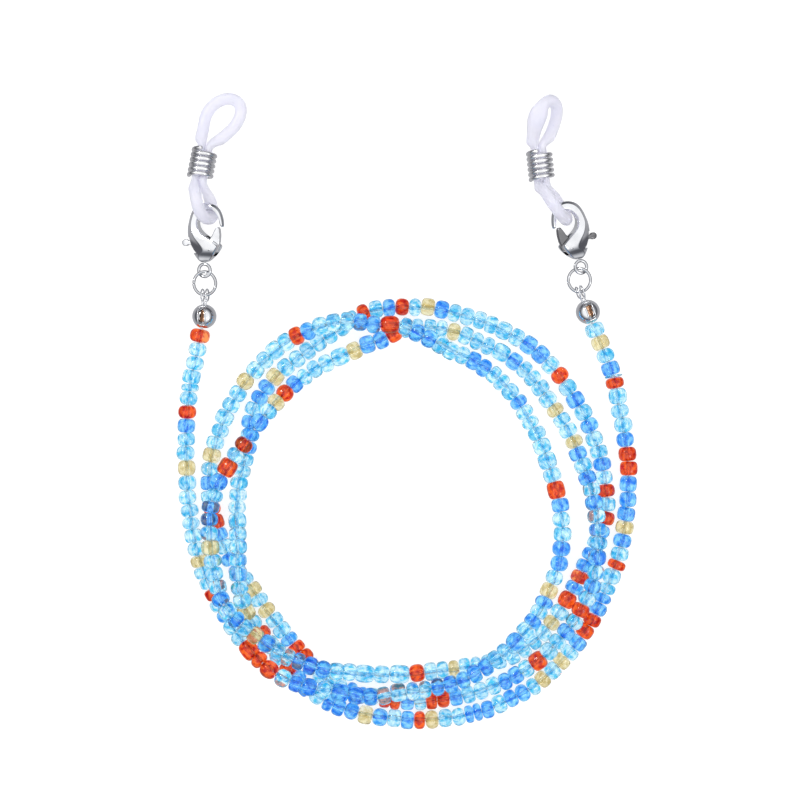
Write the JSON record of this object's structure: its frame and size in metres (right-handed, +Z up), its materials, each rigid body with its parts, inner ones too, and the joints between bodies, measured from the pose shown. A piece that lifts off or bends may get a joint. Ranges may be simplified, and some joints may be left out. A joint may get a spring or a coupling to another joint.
{
  "type": "eyeglass retainer strap",
  "caption": "Beaded eyeglass retainer chain lying in a loose coil, with a silicone temple loop, grip coil, lobster clasp, jump ring and bead tip at each end.",
  "frame": {"origin": "centre of the underside of the strap as it lies, on the plane it rests on", "axes": "+Z up from the table, +Y towards the temple loops, +X to the right of the coil seen from above"},
  "size_m": [0.074, 0.1026, 0.0072],
  "materials": {
    "glass_bead": "transparent coloured glass, fire polished",
    "glass_cyan": "transparent aqua glass",
    "glass_blue": "transparent blue glass",
    "glass_red": "transparent orange-red glass",
    "glass_gold": "transparent champagne glass",
    "thread": "white bonded beading thread",
    "silicone": "translucent clear silicone",
    "bright_metal": "bright silver plate",
    "steel": "spring steel wire",
    "copper": "copper-gold plated crimp"
  },
  "bodies": {
    "root": {"stringing_thread": "thread", "bead_run_01": "glass_bead", "bead_run_02": "glass_bead", "bead_run_03": "glass_bead", "bead_run_04": "glass_bead", "bead_run_05": "glass_bead", "bead_run_06": "glass_bead", "bead_run_07": "glass_bead", "bead_run_08": "glass_bead", "bead_run_09": "glass_bead", "bead_run_10": "glass_bead", "bead_run_11": "glass_bead", "bead_run_12": "glass_bead", "bead_run_13": "glass_bead", "bead_run_14": "glass_bead", "bead_run_15": "glass_bead", "bead_run_16": "glass_bead", "bead_run_17": "glass_bead", "bead_run_18": "glass_bead", "bead_run_19": "glass_bead", "bead_run_20": "glass_bead", "bead_run_21": "glass_bead", "bead_run_22": "glass_bead", "bead_run_23": "glass_bead", "bead_run_24": "glass_bead", "left_bead_tip": "bright_metal", "left_crimp_bead": "copper", "right_bead_tip": "bright_metal", "right_crimp_bead": "copper"},
    "left_ring": {"left_jump_ring": "bright_metal"},
    "left_clasp": {"left_clasp_body": "bright_metal", "left_clasp_rivet": "steel", "left_clasp_spring": "steel"},
    "left_lever": {"left_clasp_lever": "bright_metal"},
    "left_loop": {"left_silicone_loop": "silicone"},
    "left_grip": {"left_grip_coil": "bright_metal"},
    "left_bead_1": {"left_end_bead_1": "glass_bead"},
    "left_bead_2": {"left_end_bead_2": "glass_bead"},
    "left_bead_3": {"left_end_bead_3": "glass_bead"},
    "left_bead_4": {"left_end_bead_4": "glass_bead"},
    "right_ring": {"right_jump_ring": "bright_metal"},
    "right_clasp": {"right_clasp_body": "bright_metal", "right_clasp_rivet": "steel", "right_clasp_spring": "steel"},
    "right_lever": {"right_clasp_lever": "bright_metal"},
    "right_loop": {"right_silicone_loop": "silicone"},
    "right_grip": {"right_grip_coil": "bright_metal"},
    "right_bead_1": {"right_end_bead_1": "glass_bead"},
    "right_bead_2": {"right_end_bead_2": "glass_bead"},
    "right_bead_3": {"right_end_bead_3": "glass_bead"},
    "right_bead_4": {"right_end_bead_4": "glass_bead"}
  },
  "joints": [
    {"name": "left_ring_swing", "type": "hinge", "parent": "root", "child": "left_ring", "pos_m": [-0.03259, 0.01859, 0.00174], "axis": [0.891, 0, -0.454], "range_deg": [-60, 75]},
    {"name": "left_clasp_swing", "type": "hinge", "parent": "left_ring", "child": "left_clasp", "pos_m": [-0.03259, 0.02235, 0.00174], "axis": [0.891, 0, -0.454], "range_deg": [-45, 60]},
    {"name": "left_lever_open", "type": "hinge", "parent": "left_clasp", "child": "left_lever", "pos_m": [-0.03134, 0.02598, 0.00253], "axis": [-0.3059, -0.0864, 0.9481], "range_deg": [0, 20], "stiffness_Nm_per_rad": 0.003, "springref_deg": -20.05},
    {"name": "left_loop_swing", "type": "hinge", "parent": "left_clasp", "child": "left_loop", "pos_m": [-0.0333, 0.03273, 0.00251], "axis": [0.9513, 0.0123, 0.3081], "range_deg": [-15, 25]},
    {"name": "left_grip_slide", "type": "slide", "parent": "left_loop", "child": "left_grip", "axis": [0.1727, 0.9794, -0.1045], "range_m": [-0.0004, 0.0004]},
    {"name": "left_bead_1_spin", "type": "hinge", "parent": "root", "child": "left_bead_1", "pos_m": [-0.0334, 0.01204, 0.00152], "axis": [-0.2013, -0.9771, -0.0693], "continuous": true},
    {"name": "left_bead_2_spin", "type": "hinge", "parent": "root", "child": "left_bead_2", "pos_m": [-0.0338, 0.00983, 0.00146], "axis": [-0.172, -0.9851, -0.0009], "continuous": true},
    {"name": "left_bead_3_spin", "type": "hinge", "parent": "root", "child": "left_bead_3", "pos_m": [-0.03425, 0.00762, 0.00145], "axis": [-0.23, -0.9732, -0.0021], "continuous": true},
    {"name": "left_bead_4_spin", "type": "hinge", "parent": "root", "child": "left_bead_4", "pos_m": [-0.03476, 0.00543, 0.00146], "axis": [-0.2079, -0.9781, 0.0031], "continuous": true},
    {"name": "right_ring_swing", "type": "hinge", "parent": "root", "child": "right_ring", "pos_m": [0.02799, 0.01912, 0.00174], "axis": [0.8996, 0.1105, 0.4226], "range_deg": [-12, 75]},
    {"name": "right_clasp_swing", "type": "hinge", "parent": "right_ring", "child": "right_clasp", "pos_m": [0.02753, 0.02286, 0.00174], "axis": [0.8996, 0.1105, 0.4226], "range_deg": [-45, 60]},
    {"name": "right_lever_open", "type": "hinge", "parent": "right_clasp", "child": "right_lever", "pos_m": [0.026, 0.02616, 0.00253], "axis": [-0.3174, 0.0176, -0.9481], "range_deg": [0, 15], "stiffness_Nm_per_rad": 0.003, "springref_deg": -20.05},
    {"name": "right_loop_swing", "type": "hinge", "parent": "right_clasp", "child": "right_loop", "pos_m": [0.02513, 0.0329, 0.00295], "axis": [0.9311, 0.1955, -0.3081], "range_deg": [-12, 5]},
    {"name": "right_grip_slide", "type": "slide", "parent": "right_loop", "child": "right_grip", "axis": [-0.1045, 0.9945, 0], "range_m": [-0.0004, 0.0004]},
    {"name": "right_bead_1_spin", "type": "hinge", "parent": "root", "child": "right_bead_1", "pos_m": [0.03023, 0.01298, 0.00154], "axis": [-0.3723, 0.9243, 0.084], "continuous": true},
    {"name": "right_bead_2_spin", "type": "hinge", "parent": "root", "child": "right_bead_2", "pos_m": [0.03113, 0.01093, 0.00147], "axis": [-0.4024, 0.9154, 0.0076], "continuous": true},
    {"name": "right_bead_3_spin", "type": "hinge", "parent": "root", "child": "right_bead_3", "pos_m": [0.03201, 0.00886, 0.00145], "axis": [-0.3912, 0.9203, -0.0011], "continuous": true},
    {"name": "right_bead_4_spin", "type": "hinge", "parent": "root", "child": "right_bead_4", "pos_m": [0.03283, 0.00676, 0.00146], "axis": [-0.3217, 0.9468, -0.0025], "continuous": true}
  ]
}
